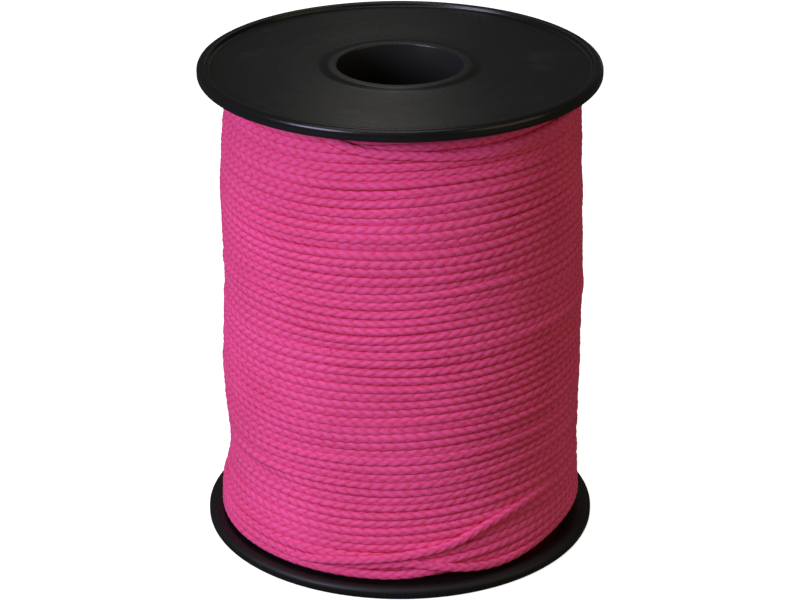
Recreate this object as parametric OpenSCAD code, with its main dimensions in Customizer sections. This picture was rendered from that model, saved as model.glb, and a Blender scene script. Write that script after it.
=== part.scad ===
// Spool of braided fishing line: a core tube closed by two pushed-in flanges,
// and one continuous line wound on it in even layers between the flanges.
// Millimetres. +Z is the spool's axis, and the bottom flange's rim stands on z = 0.

/* [Spool] */
// Height over both flanges
spool_h = 98.7; // [90:0.1:120]
// Outside diameter of the flanges
flange_d = 80; // [78:0.5:100]
// Diameter of the spindle bore through the hubs
bore_d = 25; // [20:0.5:26]

/* [Flanges] */
// Thickness of the rounded rim
rim_t = 2.5; // [2.4:0.1:3.5]
// Radial width of the rounded rim
rim_w = 2.0; // [1.8:0.1:4]
// How far the outer face lies below the rim
face_recess = 0.8; // [0.6:0.1:0.9]
// How far the inner face lies below the rim
inner_recess = 0.4; // [0.1:0.1:0.5]
// How far the hub's lip lies below the rim
lip_recess = 0.5; // [0:0.1:0.5]
// Wall thickness of the hub
hub_wall = 2.0; // [1.5:0.1:3]
// Length of hub pushed into the core tube
hub_len = 12; // [6:1:30]

/* [Core tube] */
// Wall thickness of the core tube
tube_wall = 2.5; // [1.5:0.1:3]
// Radial clearance between hub and tube
tube_fit = 0.05; // [0.02:0.01:0.1]

/* [Line] */
// Diameter of the braided line
line_d = 1.7; // [1:0.1:2.4]
// Number of wound layers
layer_count = 12; // [12:1:12]
// Radial build of one layer
layer_build = 1.6; // [1.2:0.1:1.6]
// Gap left between neighbouring layers, and between line and flanges
wind_gap = 0.1; // [0.05:0.05:0.2]
// How much the last turns bulge next to the bottom flange
end_bulge = 0.9; // [0:0.1:0.9]

/* [Hidden] */

line_pink = [0.87, 0.20, 0.44];
moulded_black = [0.07, 0.07, 0.07];

round_fn = 96;
corner_fn = 32;

flange_r = flange_d / 2;
bore_r = bore_d / 2;
hub_r = bore_r + hub_wall;
tube_in_r = hub_r + tube_fit;
tube_out_r = tube_in_r + tube_wall;
rim_round = 0.9;
lip_round = 0.5;
lead_in = 0.4;

// Height of a flange's inner face above the spool's own end
web_top = rim_t - inner_recess;
wind_low = web_top + wind_gap;
wind_high = spool_h - web_top - wind_gap;

// Height over which the bulge beside the bottom flange fades out
bulge_h = 12;
// How much thicker the winding is at the bottom third than under the top flange
wind_taper = 0.4;

// Outer radius of the finished winding at its straight middle
wind_r = tube_out_r + layer_count * layer_build;

// The crossing turn lies on top of the outer layer. Each point is the angle round
// the spool from its front, in degrees, and the height above z = 0.
crossing_route = [
    [-36, 5.2], [-30, 5.5], [-21, 6.4], [-10, 7.6], [0, 8.5], [6, 9.1],
    [12, 9.8], [17, 10.6], [22, 11.8], [27, 13.0], [33, 14.0], [39, 14.8]
];
crossing_sides = 8;
crossing_steps = 5;

// Square-ended bar with four rounded corners, lowest inner corner at [x, y]
module rounded_bar(x, y, w, h, r) {
    translate([x + r, y]) square([w - 2 * r, h]);
    translate([x, y + r]) square([w, h - 2 * r]);
    for (cx = [x + r, x + w - r], cy = [y + r, y + h - r])
        translate([cx, cy]) circle(r = r, $fn = corner_fn);
}

// Half section of a flange: rim, web, and the hub with its rounded lip
module flange_section() {
    rounded_bar(flange_r - rim_w, 0, rim_w, rim_t, rim_round);
    translate([bore_r + lip_round, face_recess])
        square([flange_r - rim_w / 2 - bore_r - lip_round, web_top - face_recess]);
    rounded_bar(bore_r, lip_recess, hub_wall, web_top - lip_recess + hub_len / 2, lip_round);
    polygon([
        [bore_r, web_top],
        [hub_r, web_top],
        [hub_r, web_top + hub_len - lead_in],
        [hub_r - lead_in, web_top + hub_len],
        [bore_r, web_top + hub_len]
    ]);
}

module flange() {
    rotate_extrude($fn = round_fn) flange_section();
}

module bottom_flange() {
    color(moulded_black) flange();
}

module top_flange() {
    color(moulded_black) translate([0, 0, spool_h]) mirror([0, 0, 1]) flange();
}

module core_tube() {
    color(moulded_black) rotate_extrude($fn = round_fn)
        translate([tube_in_r, web_top]) square([tube_wall, spool_h - 2 * web_top]);
}

// One wound layer, as the closed ring that its turns fill
module line_layer(i) {
    color(line_pink) rotate_extrude($fn = round_fn)
        translate([tube_out_r + (i - 1) * layer_build + wind_gap, wind_low])
            square([layer_build - wind_gap, wind_high - wind_low]);
}

// The outermost layer is a little fuller at the bottom, where the turns pile up
module line_outer_layer() {
    in_r = tube_out_r + (layer_count - 1) * layer_build + wind_gap;
    color(line_pink) rotate_extrude($fn = round_fn)
        polygon([
            [in_r, wind_low],
            [wind_r + end_bulge, wind_low],
            [wind_r + end_bulge, wind_low + bulge_h / 3],
            [wind_r, wind_low + bulge_h],
            [wind_r, (wind_low + wind_high) / 2],
            [wind_r - wind_taper, wind_high],
            [in_r, wind_high]
        ]);
}

// Radius at which the crossing turn's centre runs, just clear of the outer layer
function crossing_r(z) =
    wind_r + line_d / 2 + wind_gap
    + end_bulge * min(1, max(0, (wind_low + bulge_h - z) / (bulge_h * 2 / 3)));

// Point on a smooth curve through four neighbouring route points
function blend(a, b, c, d, t) =
    (2 * b + (c - a) * t + (2 * a - 5 * b + 4 * c - d) * t * t
    + (3 * b - 3 * c + d - a) * t * t * t) / 2;

last_leg = len(crossing_route) - 2;
crossing_path = [
    for (i = [0:last_leg], k = [0:crossing_steps - (i < last_leg ? 1 : 0)])
        blend(crossing_route[max(i - 1, 0)], crossing_route[i], crossing_route[i + 1],
              crossing_route[min(i + 2, last_leg + 1)], k / crossing_steps)
];
crossing_points = [
    for (p = crossing_path, s = [0:crossing_sides - 1])
        let (turn = 360 * s / crossing_sides,
             r = crossing_r(p[1]) + line_d / 2 * cos(turn),
             z = p[1] + line_d / 2 * sin(turn))
            [r * sin(p[0]), -r * cos(p[0]), z]
];
rings = len(crossing_path);
crossing_faces = concat(
    [[for (s = [0:crossing_sides - 1]) s]],
    [[for (s = [crossing_sides - 1:-1:0]) (rings - 1) * crossing_sides + s]],
    [for (i = [0:rings - 2], s = [0:crossing_sides - 1])
        let (n = (s + 1) % crossing_sides, a = i * crossing_sides, b = a + crossing_sides)
            [a + n, a + s, b + s, b + n]]
);

// The turn that climbs over its neighbours where the winding turns back at the bottom flange
module line_crossing_turn() {
    color(line_pink) polyhedron(points = crossing_points, faces = crossing_faces);
}

top_flange();
bottom_flange();
core_tube();
line_layer(1);  // line_layer_01
line_layer(2);  // line_layer_02
line_layer(3);  // line_layer_03
line_layer(4);  // line_layer_04
line_layer(5);  // line_layer_05
line_layer(6);  // line_layer_06
line_layer(7);  // line_layer_07
line_layer(8);  // line_layer_08
line_layer(9);  // line_layer_09
line_layer(10);  // line_layer_10
line_layer(11);  // line_layer_11
line_outer_layer();
line_crossing_turn();
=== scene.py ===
"""Looks of the fishing line spool: turned flanges, and the braided line wound turn by turn."""
import bpy
import math
import numpy as np
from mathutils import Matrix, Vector


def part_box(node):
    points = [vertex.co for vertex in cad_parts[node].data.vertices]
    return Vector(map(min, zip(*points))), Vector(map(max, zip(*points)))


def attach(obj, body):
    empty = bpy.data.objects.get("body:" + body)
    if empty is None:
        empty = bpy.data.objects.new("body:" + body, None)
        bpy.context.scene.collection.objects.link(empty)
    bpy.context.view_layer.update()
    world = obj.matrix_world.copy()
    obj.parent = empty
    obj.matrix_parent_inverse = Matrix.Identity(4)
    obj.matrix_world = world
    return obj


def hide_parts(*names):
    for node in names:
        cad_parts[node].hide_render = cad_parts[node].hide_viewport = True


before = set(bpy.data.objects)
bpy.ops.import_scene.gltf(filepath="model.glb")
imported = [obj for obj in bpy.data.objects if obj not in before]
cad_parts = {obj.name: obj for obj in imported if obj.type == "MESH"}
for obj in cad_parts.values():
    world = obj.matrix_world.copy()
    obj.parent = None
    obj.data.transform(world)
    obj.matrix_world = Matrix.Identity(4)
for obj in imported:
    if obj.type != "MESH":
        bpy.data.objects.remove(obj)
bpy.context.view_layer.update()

BODY = "root"
MM = 0.001

# ---------------------------------------------------------------- sizes from the frame
FLANGE_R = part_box("bottom_flange")[1][0]
SPOOL_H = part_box("top_flange")[1][2]
WIND_LOW, WIND_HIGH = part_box("line_outer_layer")[0][2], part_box("line_outer_layer")[1][2]
LAYER_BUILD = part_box("line_layer_02")[1][0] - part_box("line_layer_01")[1][0]
UNDER_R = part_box("line_layer_11")[1][0]
WIND_R = UNDER_R + LAYER_BUILD

# Flange section, as the moulding is drawn
RIM_T = 2.5 * MM
RIM_W = 2.0 * MM
RIM_IN = FLANGE_R - RIM_W
RIM_ROUND = 0.9 * MM
RIM_INNER_ROUND = 0.36 * MM
WEB_FILLET = 0.4 * MM
WEB_EDGE = RIM_IN - 2 * WEB_FILLET
FACE_RECESS = 0.8 * MM
INNER_RECESS = 0.4 * MM
WEB_TOP = RIM_T - INNER_RECESS
BORE_R = 12.5 * MM
HUB_R = 14.5 * MM
HUB_END = WEB_TOP + 12.0 * MM
LEAD_IN = 0.4 * MM
LIP_RECESS = 0.5 * MM
LIP_ROUND = 0.3 * MM
LIP_FOOT_R = HUB_R + 1.6 * MM
LIP_SLOPE_W = 2.1 * MM
FLANGE_SEGMENTS = 288

# The line: diameter, length of one stitch, strands laid each way, and how far a strand stands out
LINE_D = 1.7 * MM
STITCH = 2.4 * MM
CARRIERS = 4
RELIEF = 0.19 * MM
RELIEF_MIDDLE = 0.6
# Half its thickness across and along the spool, and how much that changes where turns are pressed flat
RADIAL_HALF = 0.82 * MM
AXIAL_HALF = 0.95 * MM
PRESSED_IN = 0.03 * MM
PRESSED_OUT = 0.21 * MM
# Painted shade: the line is coloured redder on its lower side, where light comes back from its neighbours
SHADE_TILT = math.radians(22)

# The winding: angles are degrees from the front, and grow towards +X and along the line as it climbs
FIRST_TURN_Z = 7.05 * MM
HIGHEST_ROW = WIND_HIGH - AXIAL_HALF
ROWS = 51
PITCH = (HIGHEST_ROW - FIRST_TURN_Z) / ROWS
START_ANGLE = -12
END_ANGLE = 360 * (ROWS + 1) - 30
# Each turn lies level, and climbs by one pitch between these angles, at the front
CLIMB_FROM, CLIMB_TO = -48, 52
# Turns in the middle of the winding lie askew, higher at +X
MIDDLE_FROM, MIDDLE_TO = 20 * MM, 80 * MM
MIDDLE_TILT = 0.25 * MM
# Beside the bottom flange the turns lie higher at +X
SIDE_LIFT, SIDE_LIFT_FADE = 2.4 * MM, 12 * MM
# Under the top flange the turns at +X lie deeper
TOP_SINK = 1.2 * MM
TOP_SINK_FROM, TOP_SINK_TO = 92.5 * MM, 94.0 * MM
# The line's first end is tucked in, and comes out over this many degrees
TUCK_DEPTH, TUCK_ANGLE = 1.5 * MM, 26
# The layer under it lies this much deeper, in the grooves, and starts two turns lower
UNDER_DEPTH = 1.15 * MM
UNDER_START = -720
# Outline of the finished winding: height, radius, and how far it bulges towards +X, in millimetres
WIND_OUTLINE = [(2, 37.2, 0.0), (7, 37.2, 0.1), (10, 36.6, 0.3), (15, 36.0, 0.7), (20, 36.0, 0.7),
                (27, 36.4, 0.4), (35, 36.7, 0.3), (44, 36.5, 0.4), (52, 36.4, 0.8), (62, 36.3, 0.5),
                (74, 36.25, 0.2), (82, 35.9, 0.3), (88, 35.5, 0.5), (97, 35.2, 0.6)]

# Loose strands: angle in degrees, height, and ride above the turns under them, in millimetres.
# The last turns at the bottom come out from under their neighbours, lie against the flange,
# and go round once more a row higher.
LAST_TURNS = [(-60, 5.0, -2.0), (-40, 5.0, -1.4), (-22, 5.15, -0.7), (-10, 5.8, -0.2), (2, 6.6, 0.25),
              (9, 6.0, 0.55), (15, 5.35, 0.75), (22, 4.6, 0.75), (29, 4.15, 0.6), (36, 4.15, 0.4),
              (45, 4.75, 0.2), (55, 5.6, 0.05), (68, 6.3, 0.0), (90, 6.4, 0.0), (135, 5.8, 0.0),
              (180, 4.8, 0.0), (225, 4.1, 0.0), (270, 3.8, 0.0), (320, 3.8, 0.1), (350, 3.8, 0.1),
              (360, 3.95, 0.1), (368, 4.35, -0.1), (376, 4.85, -0.4), (385, 5.3, -0.6), (396, 5.8, -0.2),
              (410, 6.8, 0.0), (425, 7.8, 0.0), (450, 8.0, 0.0), (495, 7.4, 0.0), (540, 6.4, 0.0),
              (585, 5.8, 0.0), (630, 5.4, 0.0), (665, 5.25, 0.1), (684, 5.2, 0.2)]
# The turn that goes on from there, crosses five rows and is tucked in
CROSSING = [(-36, 5.2, 0.2), (-30, 5.3, 0.4), (-21, 6.4, 0.9), (-10, 7.6, 1.2), (0, 8.5, 1.25),
            (6, 9.1, 1.25), (12, 9.8, 1.25), (17, 10.6, 1.25), (22, 11.8, 1.25), (27, 13.0, 1.2),
            (33, 14.0, 1.1), (39, 14.8, 0.9), (46, 15.4, 0.6), (56, 15.8, 0.2), (66, 16.0, -0.6),
            (74, 16.1, -1.5)]
# The uppermost turn comes down from the flange at the front and is pressed in between its neighbours
TOP_STRAND = [(-24, 94.6, 0.4), (-18, 93.5, 0.7), (-12, 92.7, 0.8), (-5, 92.3, 0.8), (3, 92.1, 0.75),
              (12, 91.7, 0.7), (22, 91.25, 0.6), (35, 91.0, 0.45), (50, 91.0, 0.25), (70, 91.1, 0.0),
              (90, 91.2, -0.7), (105, 91.3, -1.6)]

# How finely the line is drawn
RINGS_PER_STITCH = 6
RINGS = int(round(2 * math.pi * WIND_R / STITCH)) * RINGS_PER_STITCH
WOUND_PIECES = 10
# How far the braid turns about the line for each radian round the spool
WOUND_TWIST, UNDER_TWIST, STRAND_TWIST = 0.35, 0.2, 0.3

# Plastic roughness: the outer side of the rim, its inner side, the flange's web and the core
RIM_ROUGHNESS, EDGE_ROUGHNESS, WEB_ROUGHNESS, CORE_ROUGHNESS = 0.26, 0.55, 0.28, 0.55
BLACK = (0.0, 0.0, 0.0)
WHITE = (1.0, 1.0, 1.0)

# Colour and strength of the surroundings, as the camera, reflections and all other light meet them
SEEN = (WHITE, 1.0)
MIRRORED = ((1.0, 0.98, 0.94), 0.045)
ROOM = ((1.0, 0.93, 0.60), 0.14)

rng = np.random.default_rng(11)
# Waves that neighbouring turns share: how many go round the spool, how fast they change with height,
# their phase and their size
DRIFT_WAVES = [(int(rng.integers(1, 6)), rng.uniform(3, 9) * MM * rng.choice([-1, 1]), rng.uniform(0, 6.28),
                rng.uniform(0.03, 0.10) * MM) for _ in range(14)]


# ---------------------------------------------------------------- small helpers
def smooth_noise(count, spacing, amplitude):
    """A smooth random curve of count samples, with a new random value every spacing samples."""
    knots = rng.normal(0.0, amplitude, int(count / spacing) + 5)
    x = np.arange(count) / spacing + 1.0
    i = x.astype(int)
    t = x - i
    a, b, c, d = knots[i - 1], knots[i], knots[i + 1], knots[i + 2]
    return (a * (1 - t) ** 3 + b * (4 - 6 * t**2 + 3 * t**3)
            + c * (1 + 3 * t + 3 * t**2 - 3 * t**3) + d * t**3) / 6


def smoothstep(x, start, end):
    t = np.clip((x - start) / (end - start), 0.0, 1.0)
    return t * t * (3 - 2 * t)


def tube_mesh(name, points, uv, colour):
    """A tube from points[ring, side], closed round each ring and at both ends. colour is its braid value,
    with painted shade in it.
    """
    rings, sides = points.shape[:2]
    ring = np.arange(rings - 1)[:, None] * sides
    side = np.arange(sides)[None, :]
    following = (side + 1) % sides
    quads = np.stack([ring + side, ring + following, ring + sides + following, ring + sides + side], axis=2)
    walls = quads.size
    first_cap = np.arange(sides)[::-1]
    last_cap = (rings - 1) * sides + np.arange(sides)
    loops = np.concatenate([quads.reshape(-1), first_cap, last_cap])
    starts = np.concatenate([np.arange(walls // 4) * 4, [walls, walls + sides]])
    totals = np.concatenate([np.full(walls // 4, 4), [sides, sides]])
    mesh = bpy.data.meshes.new(name)
    mesh.vertices.add(rings * sides)
    mesh.vertices.foreach_set("co", points.reshape(-1).astype(np.float32))
    mesh.loops.add(len(loops))
    mesh.loops.foreach_set("vertex_index", loops.astype(np.int32))
    mesh.polygons.add(len(starts))
    mesh.polygons.foreach_set("loop_start", starts.astype(np.int32))
    mesh.polygons.foreach_set("loop_total", totals.astype(np.int32))
    # the last column of faces runs on to 1 instead of back to 0
    corner_uv = uv.reshape(-1, 2)[loops]
    closing = np.zeros(len(loops), bool)
    closing[:walls] = ((side == sides - 1) & (ring >= 0)).reshape(-1).repeat(4)
    corner_uv[closing & (corner_uv[:, 1] < 0.5), 1] += 1.0
    mesh.uv_layers.new(name="along_line").data.foreach_set("uv", corner_uv.reshape(-1))
    braid_and_shade = mesh.attributes.new("braid_and_shade", "FLOAT", "POINT")
    braid_and_shade.data.foreach_set("value", colour.reshape(-1).astype(np.float32))
    mesh.update(calc_edges=True)
    mesh.validate()
    return linked(name, mesh)


def linked(name, mesh):
    """A smooth-shaded object made from a mesh, in the scene."""
    mesh.polygons.foreach_set("use_smooth", np.ones(len(mesh.polygons), bool))
    piece = bpy.data.objects.new(name, mesh)
    bpy.context.scene.collection.objects.link(piece)
    return piece


def paint(piece, material):
    piece.data.materials.clear()
    piece.data.materials.append(material)


def add_piece(piece, material, node):
    paint(piece, material)
    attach(piece, BODY)
    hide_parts(node)


# ---------------------------------------------------------------- materials
class Nodes:
    """Short names for building a node material."""

    def __init__(self, name):
        self.material = bpy.data.materials.new(name)
        self.material.use_nodes = True
        self.tree = self.material.node_tree
        self.surface = self.tree.nodes["Principled BSDF"]

    def feed(self, socket, value):
        if isinstance(value, bpy.types.NodeSocket):
            self.tree.links.new(value, socket)
        else:
            socket.default_value = value

    def add(self, kind, **inputs):
        node = self.tree.nodes.new(kind)
        for key, value in inputs.items():
            self.feed(node.inputs[key.replace("_", " ")], value)
        return node

    def math(self, operation, *values):
        node = self.tree.nodes.new("ShaderNodeMath")
        node.operation = operation
        for socket, value in zip(node.inputs, values):
            self.feed(socket, value)
        return node.outputs[0]

    def rise(self, value, start, end):
        """0 below start and 1 above end, straight between them."""
        slope = 1 / (end - start)
        line = self.math("MULTIPLY_ADD", value, slope, -start * slope)
        return self.math("MINIMUM", self.math("MAXIMUM", line, 0.0), 1.0)

    def noise(self, where, scale, detail, roughness):
        node = self.add("ShaderNodeTexNoise", Vector=where, Scale=scale, Detail=detail, Roughness=roughness)
        return node.outputs["Fac"]

    def ramp(self, factor, *stops):
        node = self.tree.nodes.new("ShaderNodeValToRGB")
        self.tree.links.new(factor, node.inputs[0])
        elements = node.color_ramp.elements
        while len(elements) < len(stops):
            elements.new(0.5)
        for element, (position, colour) in zip(elements, stops):
            element.position = position
            element.color = (*colour, 1.0)
        return node.outputs[0]

    def mix(self, factor, a, b, blend="MIX"):
        node = self.tree.nodes.new("ShaderNodeMix")
        node.data_type = "RGBA"
        node.blend_type = blend
        self.feed(node.inputs[0], factor)
        for socket, colour in ((node.inputs[6], a), (node.inputs[7], b)):
            self.feed(socket, (*colour, 1.0) if isinstance(colour, tuple) else colour)
        return node.outputs[2]

    def bump(self, height, strength, distance, **under):
        node = self.add("ShaderNodeBump", Strength=strength, Distance=distance, Height=height, **under)
        return node.outputs[0]

    def link(self, output, name):
        self.tree.links.new(output, self.surface.inputs[name])

    def set(self, **values):
        for key, value in values.items():
            self.surface.inputs[key.replace("_", " ")].default_value = value


def line_material():
    """Pink braid with painted shade: paler on the strands' crowns, redder and darker between them and on the
    line's sides, with fibres along the line.
    """
    n = Nodes("braided_line")
    where = n.add("ShaderNodeTexCoord").outputs["Object"]
    braid_and_shade = n.tree.nodes.new("ShaderNodeAttribute")
    braid_and_shade.attribute_name = "braid_and_shade"
    # painted shade: darker and redder where the braid value is low, between strands and on the line's sides;
    # paler on the crowns
    shaded_braid_colour = n.ramp(braid_and_shade.outputs["Fac"],
                   (0.0, (0.70, 0.026, 0.070)), (0.45, (0.86, 0.070, 0.215)), (1.0, (0.91, 0.114, 0.330)))
    patches = n.noise(where, 55.0, 3.0, 0.6)
    tint = n.ramp(patches, (0.3, (0.93, 0.90, 0.90)), (0.7, (1.05, 1.08, 1.10)))
    colour = n.mix(1.0, shaded_braid_colour, tint, "MULTIPLY")
    along = n.tree.nodes.new("ShaderNodeUVMap")
    along.uv_map = "along_line"
    squeeze = n.add("ShaderNodeMapping", Vector=along.outputs[0], Scale=(900.0, 22.0, 1.0)).outputs[0]
    fibre = n.noise(squeeze, 1.0, 4.0, 0.7)
    streak = n.ramp(fibre, (0.3, (0.86, 0.84, 0.86)), (0.7, (1.10, 1.12, 1.10)))
    n.link(n.mix(1.0, colour, streak, "MULTIPLY"), "Base Color")
    n.link(n.math("MULTIPLY_ADD", fibre, 0.25, 0.5), "Roughness")
    n.link(n.bump(fibre, 0.35, 0.06 * MM), "Normal")
    n.set(Sheen_Weight=0.05, Sheen_Roughness=0.45, Sheen_Tint=(1.0, 0.40, 0.65, 1.0))
    n.set(Specular_IOR_Level=0.06)
    return n.material


def moulded_black(name, face_roughness, grain):
    """Black plastic: a matt face with faint rings from the mould, glossier on the outer side of the rim."""
    n = Nodes(name)
    where = n.add("ShaderNodeTexCoord").outputs["Object"]
    dust = n.noise(where, 90.0, 6.0, 0.65)
    cloud = n.noise(where, 22.0, 2.0, 0.5)
    x, y, z = n.add("ShaderNodeSeparateXYZ", Vector=where).outputs
    radius = n.math("SQRT", n.math("ADD", n.math("MULTIPLY", x, x), n.math("MULTIPLY", y, y)))
    heading = n.math("ARCTAN2", y, x)
    from_middle = n.math("ABSOLUTE", n.math("SUBTRACT", z, SPOOL_H / 2))

    base = n.ramp(cloud, (0.3, (0.0070, 0.0065, 0.0061)), (0.75, (0.0110, 0.0103, 0.0096)))
    specks = n.ramp(dust, (0.60, BLACK), (0.78, (0.010, 0.010, 0.009)))
    # painted light: the bore's wall is coloured paler, for light that reaches into the bore
    off_bore = n.rise(radius, BORE_R + 0.05 * MM, BORE_R + 0.2 * MM)
    bore_painted_light = n.mix(off_bore, (0.011, 0.011, 0.010), BLACK)
    n.link(n.mix(1.0, n.mix(1.0, base, specks, "ADD"), bore_painted_light, "ADD"), "Base Color")

    outward, around = n.math("MULTIPLY", radius, 420.0), n.math("MULTIPLY", heading, 1.2)
    rings = n.noise(n.add("ShaderNodeCombineXYZ", X=outward, Y=around).outputs[0], 1.0, 3.0, 0.6)
    matt = n.math("MULTIPLY_ADD", rings, 0.14, n.math("MULTIPLY_ADD", dust, 0.16, face_roughness - 0.15))
    on_rim = n.rise(radius, RIM_IN - 0.47 * MM, RIM_IN + 0.2 * MM)
    outer_side = n.rise(from_middle, SPOOL_H / 2 - 1.9 * MM, SPOOL_H / 2 - 1.1 * MM)
    inner_change = EDGE_ROUGHNESS - face_roughness
    rim_change = n.math("MULTIPLY_ADD", outer_side, RIM_ROUGHNESS - EDGE_ROUGHNESS, inner_change)
    n.link(n.math("MULTIPLY_ADD", on_rim, rim_change, matt), "Roughness")

    fine = n.noise(where, 1800.0, 2.0, 0.6)
    n.link(n.bump(fine, grain, 0.03 * MM, Normal=n.bump(cloud, 0.2, 0.2 * MM)), "Normal")
    n.set(Specular_IOR_Level=0.4)
    return n.material


# ---------------------------------------------------------------- turned parts
def arc(cx, cy, r, start, end, steps):
    """Points on an arc, angles in degrees."""
    angles = np.radians(np.linspace(start, end, steps + 1))
    return [(cx + r * math.cos(a), cy + r * math.sin(a)) for a in angles]


def flange_profile():
    """Closed half section (radius, height above the flange's own outer end), outer face first."""
    p = arc(FLANGE_R - RIM_ROUND, RIM_ROUND, RIM_ROUND, 0, -90, 8)
    p += arc(RIM_IN + RIM_INNER_ROUND, RIM_INNER_ROUND, RIM_INNER_ROUND, -90, -180, 5)
    p += arc(RIM_IN - WEB_FILLET, FACE_RECESS - WEB_FILLET, WEB_FILLET, 0, 90, 4)
    p += [(r, FACE_RECESS) for r in np.linspace(WEB_EDGE, LIP_FOOT_R + 0.2 * MM, 6)]
    for t in np.linspace(0.0, 1.0, 9)[1:]:
        raised = (FACE_RECESS - LIP_RECESS) * smoothstep(t, 0, 1)
        p.append((LIP_FOOT_R - LIP_SLOPE_W * t, FACE_RECESS - raised))
    lip_top_r = LIP_FOOT_R - LIP_SLOPE_W - 0.2 * MM
    p += [(r, LIP_RECESS) for r in np.linspace(lip_top_r, BORE_R + LIP_ROUND + 0.1 * MM, 4)]
    p += arc(BORE_R + LIP_ROUND, LIP_RECESS + LIP_ROUND, LIP_ROUND, -90, -180, 6)
    p += [(BORE_R, HUB_END), (HUB_R - LEAD_IN, HUB_END), (HUB_R, HUB_END - LEAD_IN), (HUB_R, WEB_TOP)]
    p += [(r, WEB_TOP) for r in np.linspace(HUB_R + 2 * MM, WEB_EDGE, 5)]
    p += arc(FLANGE_R - RIM_ROUND, RIM_T - RIM_ROUND, RIM_ROUND, 90, 0, 8)
    return np.array(p)


def turned(name, profile):
    """A solid of revolution from a closed half section, with its faces turned outward."""
    angle = np.linspace(0, 2 * math.pi, FLANGE_SEGMENTS, endpoint=False)[:, None]
    r, z = profile[:, 0][None, :], profile[:, 1][None, :]
    points = np.stack([r * np.cos(angle), r * np.sin(angle), z + 0 * angle], axis=2)
    count = len(profile)
    ring = np.arange(FLANGE_SEGMENTS)[:, None]
    side = np.arange(count)[None, :]
    next_ring, next_side = (ring + 1) % FLANGE_SEGMENTS, (side + 1) % count
    quads = np.stack([ring * count + side, next_ring * count + side,
                      next_ring * count + next_side, ring * count + next_side], axis=2).reshape(-1, 4)
    mesh = bpy.data.meshes.new(name)
    mesh.from_pydata(points.reshape(-1, 3).tolist(), [], quads.tolist())
    mesh.update()
    piece = linked(name, mesh)
    bpy.context.view_layer.objects.active = piece
    piece.select_set(True)
    bpy.ops.object.mode_set(mode="EDIT")
    bpy.ops.mesh.select_all(action="SELECT")
    bpy.ops.mesh.normals_make_consistent(inside=False)
    bpy.ops.object.mode_set(mode="OBJECT")
    piece.select_set(False)
    return piece


def flanges(material):
    profile = flange_profile()
    add_piece(turned("bottom_flange_moulding", profile), material, "bottom_flange")
    flipped = profile.copy()
    flipped[:, 1] = SPOOL_H - flipped[:, 1]
    add_piece(turned("top_flange_moulding", flipped), material, "top_flange")


# ---------------------------------------------------------------- the wound line
def stitch_height(along, turn):
    """Height of the braid's surface, 0 to 1, at a distance along the line and an angle round it.
    Eight strands, four each way, and each passes over two and under two."""
    a = turn * CARRIERS / (2 * math.pi)
    s = along / STITCH
    u, v = a + s, a - s
    i, j = np.floor(u), np.floor(v)
    fu, fv = u - i, v - j
    k = np.mod(i + j, 4)
    right_hand = k < 2
    across = np.where(right_hand, fu, fv)
    length = np.where(right_hand, (fv + k) / 2, (fu + k - 2) / 2)
    round_across = np.sqrt(np.clip(1 - (2 * across - 1) ** 2, 0, 1))
    round_along = np.sqrt(np.clip(1 - (2 * length - 1) ** 4, 0, 1))
    return round_across * round_along


def side_angles():
    """Angles round the line's section, close together on the outward half. 0 points outward."""
    outer = np.radians(np.linspace(-110, 110, 12))
    inner = np.radians([145.0, 180.0, 215.0])
    return np.concatenate([outer, inner])


def braided_tube(name, theta, radius, height, twist, radial=RADIAL_HALF, axial=AXIAL_HALF):
    """The line along a route given by arrays of angle, radius and height, with its braid in the mesh."""
    centre = np.stack([radius * np.sin(theta), -radius * np.cos(theta), height], axis=1)
    step = np.linalg.norm(np.diff(centre, axis=0), axis=1)
    along = np.concatenate([[0.0], np.cumsum(step)])
    tangent = np.gradient(centre, axis=0)
    tangent /= np.linalg.norm(tangent, axis=1, keepdims=True)
    outward = np.stack([np.sin(theta), -np.cos(theta), np.zeros_like(theta)], axis=1)
    outward -= tangent * np.sum(outward * tangent, axis=1, keepdims=True)
    outward /= np.linalg.norm(outward, axis=1, keepdims=True)
    up = np.cross(outward, tangent)
    sides = side_angles()[None, :]
    relief = stitch_height(along[:, None], sides + twist[:, None])
    grow = (relief - RELIEF_MIDDLE) * RELIEF
    out_by = (np.broadcast_to(radial, theta.shape)[:, None] + grow) * np.cos(sides)
    up_by = (np.broadcast_to(axial, theta.shape)[:, None] + grow) * np.sin(sides)
    points = centre[:, None, :] + out_by[..., None] * outward[:, None, :] + up_by[..., None] * up[:, None, :]
    uv = np.stack([np.broadcast_to(along[:, None], relief.shape),
                   np.broadcast_to((sides % (2 * math.pi)) / (2 * math.pi), relief.shape)], axis=2)
    # painted shade: the colour value is the braid's relief, made lower on the line's sides away from
    # SHADE_TILT above outward
    return tube_mesh(name, points, uv, relief * smoothstep(np.cos(sides - SHADE_TILT), 0.15, 0.75))


def wind_radius(z, theta):
    """Outside radius of the finished winding."""
    height, radius, lean = np.array(WIND_OUTLINE).T * MM
    return np.interp(z, height, radius) + np.interp(z, height, lean) * np.sin(theta)


def winding_drift(theta, z):
    """Shared drift of neighbouring turns up and down, the same for turns that lie together."""
    drift = np.zeros_like(z)
    for count, depth, phase, size in DRIFT_WAVES:
        drift += size * np.sin(count * theta + phase + z / depth)
    return drift


def turn_height(theta):
    """Height of the wound line at an angle that grows turn by turn."""
    degrees = np.degrees(theta)
    turn = np.floor((degrees + 180) / 360)
    climb = smoothstep(degrees - 360 * turn, CLIMB_FROM, CLIMB_TO)
    z = FIRST_TURN_Z + PITCH * (turn - 1 + climb)
    middle = smoothstep(z, FIRST_TURN_Z, MIDDLE_FROM) * (1 - smoothstep(z, MIDDLE_TO, HIGHEST_ROW))
    z = z + middle * MIDDLE_TILT * np.sin(theta)
    beside_flange = np.exp(-np.abs(z - FIRST_TURN_Z) / SIDE_LIFT_FADE)
    return z + SIDE_LIFT * np.clip(np.sin(theta), 0, 1) ** 2 * beside_flange


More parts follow.
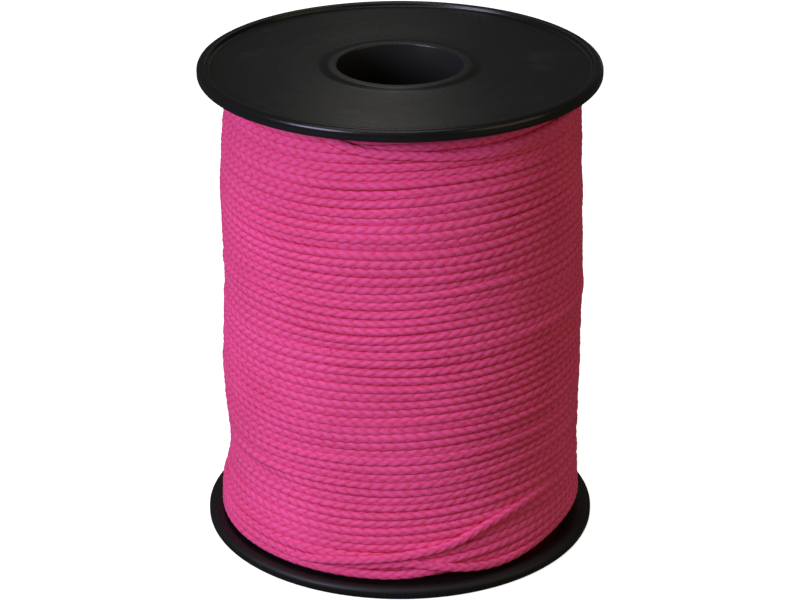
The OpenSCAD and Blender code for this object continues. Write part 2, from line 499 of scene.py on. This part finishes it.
def ride_up(z):
    """How far each turn is pushed in or out, where it is squeezed against the next one."""
    favour = smooth_noise(len(z), RINGS * 0.21, 1.0)
    gap = z[RINGS:] - z[:-RINGS]
    crowd = 0.5 * np.sqrt(np.clip((0.97 * LINE_D) ** 2 - gap**2, 0, None))
    lead = np.tanh(2 * (favour[:-RINGS] - favour[RINGS:]))
    push = np.zeros(len(z))
    push[:-RINGS] += 0.45 * crowd * lead
    push[RINGS:] -= 0.45 * crowd * lead
    return np.clip(push, -0.4 * MM, 0.4 * MM)


def winding_route():
    """Angle, radius, height, twist and half thicknesses of the outermost turns, from bottom to top."""
    turns = (END_ANGLE - START_ANGLE) / 360
    count = int(turns * RINGS) + 1
    t = np.arange(count) / RINGS
    theta = t * 2 * math.pi + math.radians(START_ANGLE)
    z = turn_height(theta)
    inside = smoothstep(np.minimum(t, turns - t), 0.0, 2.0)
    z = z + winding_drift(theta, z) * inside + smooth_noise(count, RINGS * 0.13, 0.11 * MM) * inside
    radius = wind_radius(z, theta) - RADIAL_HALF + ride_up(z)
    radius = radius + smooth_noise(count, RINGS * 0.3, 0.07 * MM)
    radius = radius - TUCK_DEPTH * (1 - smoothstep(np.degrees(theta), START_ANGLE, START_ANGLE + TUCK_ANGLE))
    side = np.degrees(np.arctan2(np.sin(theta), np.cos(theta)))
    sunk_side = smoothstep(side, -28, -8) * (1 - smoothstep(side, 120, 170))
    radius = radius - TOP_SINK * sunk_side * smoothstep(z, TOP_SINK_FROM, TOP_SINK_TO)
    z = np.minimum(z, HIGHEST_ROW)
    twist = smooth_noise(count, RINGS * 0.5, 0.8) + WOUND_TWIST * t * 2 * math.pi
    # some stretches are pressed flatter than others, and the grooves between their turns close up
    pressed = np.clip(0.4 + 6 * winding_drift(theta + 2.0, z * 0.8 + 5 * MM) / MM, 0, 1)
    return theta, radius, z, twist, RADIAL_HALF - PRESSED_IN * pressed, AXIAL_HALF + PRESSED_OUT * pressed


def outer_winding(material, route):
    """The visible turns as one continuous line, in pieces that meet end to end."""
    edges = np.linspace(0, len(route[0]) - 1, WOUND_PIECES + 1).astype(int)
    for part in range(WOUND_PIECES):
        span = slice(edges[part], edges[part + 1] + 1)
        piece = braided_tube(f"wound_turns_{part + 1:02d}", *(values[span] for values in route))
        add_piece(piece, material, "line_outer_layer")


def under_winding(material):
    """The layer under it, whose turns lie in the grooves between the outermost ones."""
    theta = np.arange(math.radians(UNDER_START), math.radians(END_ANGLE), 2 * math.pi / RINGS * 4)
    z = np.clip(turn_height(theta) + PITCH / 2, WIND_LOW + LINE_D / 2, HIGHEST_ROW)
    radius = wind_radius(z, theta) - RADIAL_HALF - UNDER_DEPTH
    piece = braided_tube("under_turns", theta, radius, z, UNDER_TWIST * theta)
    add_piece(piece, material, "line_layer_11")


def through(points, steps):
    """A smooth curve through the points, as many samples in each leg."""
    points = np.array(points, float)
    padded = np.vstack([2 * points[0] - points[1], points, 2 * points[-1] - points[-2]])
    curve = []
    for i in range(1, len(padded) - 2):
        a, b, c, d = padded[i - 1:i + 3]
        for t in np.linspace(0, 1, steps, endpoint=False):
            curve.append((2 * b + (c - a) * t + (2 * a - 5 * b + 4 * c - d) * t**2
                          + (3 * b - 3 * c + d - a) * t**3) / 2)
    curve.append(points[-1])
    return np.array(curve)


def loose_strand(name, material, node, points, steps, start_radius=None):
    """A strand that leaves the regular turns. It may start at the radius of the turn it goes on from."""
    curve = through(points, steps)
    theta = np.radians(curve[:, 0])
    z = curve[:, 1] * MM
    radius = wind_radius(z, theta) - RADIAL_HALF + curve[:, 2] * MM
    if start_radius is not None:
        radius[0] = start_radius
    piece = braided_tube(name, theta, radius, z, theta * STRAND_TWIST)
    add_piece(piece, material, node)


def loose_strands(material, route):
    loose_strand("last_turns", material, "line_outer_layer", LAST_TURNS, 30)
    loose_strand("crossing_turn", material, "line_crossing_turn", CROSSING, 14)
    theta, radius, z = route[:3]
    wound_end = (math.degrees(theta[-1]) % 360 - 360, z[-1] / MM, 0.0)
    loose_strand("uppermost_turn", material, "line_outer_layer", [wound_end] + TOP_STRAND, 16, radius[-1])


# ---------------------------------------------------------------- camera, light and floor
def camera():
    data = bpy.data.cameras.new("camera")
    data.sensor_width = 36.0
    data.lens = 124.1
    view = bpy.data.objects.new("camera", data)
    view.location = (0.0, -12.883 * FLANGE_R, 6.838 * FLANGE_R)
    view.rotation_euler = (math.radians(90 - 23.69), 0.0, 0.0)
    bpy.context.scene.collection.objects.link(view)
    bpy.context.scene.camera = view


def surroundings():
    """A white room to the camera, a dark one in reflections, and a dim warm one as light."""
    world = bpy.data.worlds.new("studio")
    bpy.context.scene.world = world
    world.use_nodes = True
    tree = world.node_tree
    tree.nodes.clear()

    def background(colour, strength):
        node = tree.nodes.new("ShaderNodeBackground")
        node.inputs[0].default_value = (*colour, 1.0)
        node.inputs[1].default_value = strength
        return node.outputs[0]

    def choose(factor, otherwise, chosen):
        node = tree.nodes.new("ShaderNodeMixShader")
        for socket, output in zip(node.inputs, (factor, otherwise, chosen)):
            tree.links.new(output, socket)
        return node.outputs[0]

    ray = tree.nodes.new("ShaderNodeLightPath").outputs
    unseen = choose(ray["Is Glossy Ray"], background(*ROOM), background(*MIRRORED))
    everything = choose(ray["Is Camera Ray"], unseen, background(*SEEN))
    tree.links.new(everything, tree.nodes.new("ShaderNodeOutputWorld").inputs[0])


def area_light(name, place, target, size, power, colour):
    data = bpy.data.lights.new(name, "AREA")
    data.shape = "RECTANGLE"
    data.size, data.size_y = size
    data.energy = power
    data.color = colour
    lamp = bpy.data.objects.new(name, data)
    lamp.location = place
    lamp.rotation_euler = (Vector(target) - Vector(place)).to_track_quat("-Z", "Y").to_euler()
    lamp.visible_camera = False
    bpy.context.scene.collection.objects.link(lamp)


def lights():
    """Cool light from the front left, white from above, warm from the right, and two lights behind the
    spool that show only as a sheen: on the top flange, and on the bottom flange's right-hand side."""
    middle = (0, 0, SPOOL_H / 2)
    area_light("key_light", (-0.66, -0.62, 0.42), middle, (0.45, 0.45), 6.6, (0.95, 0.95, 1.35))
    area_light("top_light", (-0.10, -0.15, 0.95), middle, (0.7, 0.7), 2.0, WHITE)
    area_light("back_light", (-0.006, 0.25, 0.26), (0, 0, SPOOL_H), (0.03, 0.10), 0.0095, (1.0, 0.98, 0.94))
    area_light("side_light", (0.10, 0.25, 0.10), (0.03, 0, 0), (0.08, 0.06), 0.004, (1.0, 0.95, 0.88))
    area_light("fill_light", (0.80, -0.45, 0.25), middle, (0.7, 0.7), 1.32, (1.0, 0.84, 0.48))


def floor():
    """Shows pale to the camera, but throws no light up onto the spool."""
    bpy.ops.mesh.primitive_plane_add(size=6.0, location=(0, 0, -0.05 * MM))
    plane = bpy.context.active_object
    plane.name = "floor"
    n = Nodes("pale_floor")
    n.set(Base_Color=(0.9, 0.9, 0.9, 1.0), Roughness=0.9, Specular_IOR_Level=0.1)
    n.set(Emission_Color=(*WHITE, 1.0), Emission_Strength=0.85)
    plane.data.materials.append(n.material)
    plane.visible_diffuse = False
    plane.visible_glossy = False


# ---------------------------------------------------------------- the whole scene
bpy.context.scene.view_settings.view_transform = "Standard"
camera()
surroundings()
lights()
floor()

line = line_material()
core_plastic = moulded_black("core_black", CORE_ROUGHNESS, 0.4)
for node_name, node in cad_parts.items():
    if node_name.startswith("line_"):
        paint(node, line)
    elif node_name == "core_tube":
        paint(node, core_plastic)

flanges(moulded_black("moulded_black", WEB_ROUGHNESS, 0.25))
route = winding_route()
outer_winding(line, route)
under_winding(line)
loose_strands(line, route)
